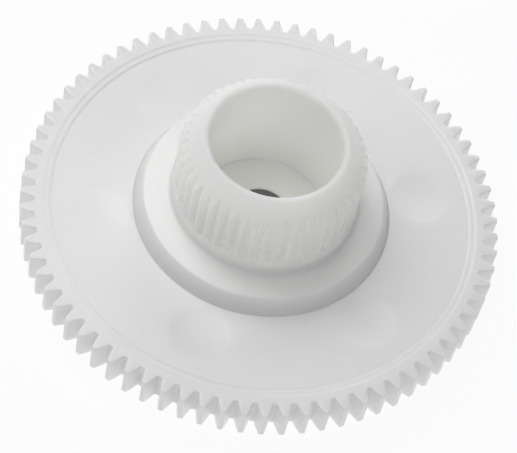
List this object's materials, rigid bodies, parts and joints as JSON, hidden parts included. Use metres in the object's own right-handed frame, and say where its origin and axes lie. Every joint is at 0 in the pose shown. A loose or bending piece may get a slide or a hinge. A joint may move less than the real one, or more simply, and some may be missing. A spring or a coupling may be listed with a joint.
{
  "type": "compound spur gear",
  "caption": "Moulded white plastic spur gear with a flat web and a fine-toothed, cup-shaped hub on a metal shaft bush, stepping a drive down between two parallel shafts.",
  "frame": {"origin": "on the gear's axis, in the plane of the rear boss's end face", "axes": "+Z along the gear's axis towards the cup's mouth; a tooth of the large gear lies on +X"},
  "size_m": [0.078, 0.078, 0.0258],
  "materials": {
    "gear_plastic": "natural translucent white acetal, satin gloss as moulded",
    "bush_metal": "dark sintered metal, fine matt grain with a burnished bore"
  },
  "bodies": {
    "root": {"gear_rim": "gear_plastic", "web_disc": "gear_plastic", "hub_plinth": "gear_plastic", "pinion": "gear_plastic", "cup_floor": "gear_plastic", "rear_boss": "gear_plastic", "shaft_bush": "bush_metal"}
  },
  "joints": []
}
